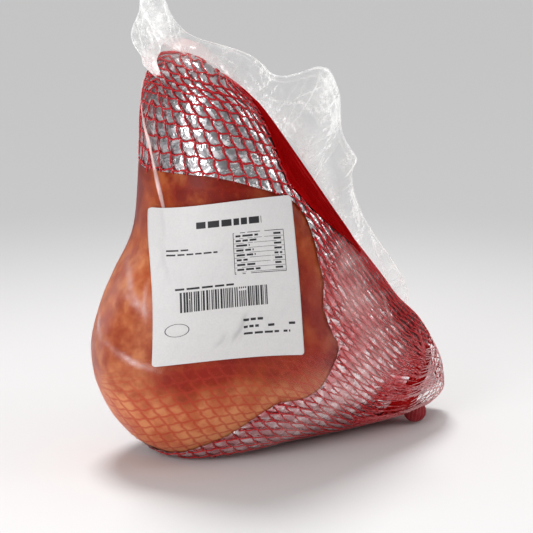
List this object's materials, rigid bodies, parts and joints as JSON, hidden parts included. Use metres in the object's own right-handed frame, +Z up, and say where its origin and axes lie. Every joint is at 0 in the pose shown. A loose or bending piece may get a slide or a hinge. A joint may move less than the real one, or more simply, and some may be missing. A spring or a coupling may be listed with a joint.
{
  "type": "packed ham",
  "caption": "Whole ham in foil and a knitted net, sealed in a clear film bag with loose film above and a plain paper label on the front.",
  "frame": {"origin": "on the small flat spot that the ham stands on, below its centre of mass", "axes": "+Z up, to the top of the shank and the loose film's tip; +X along the broad side, to the tied end of the net; -Y is the side with the label"},
  "size_m": [0.2541, 0.1217, 0.2982],
  "materials": {
    "film_over_net": "gloss",
    "label_paper": "satin"
  },
  "bodies": {
    "root": {"bag": "film_over_net", "label": "label_paper"}
  },
  "joints": []
}
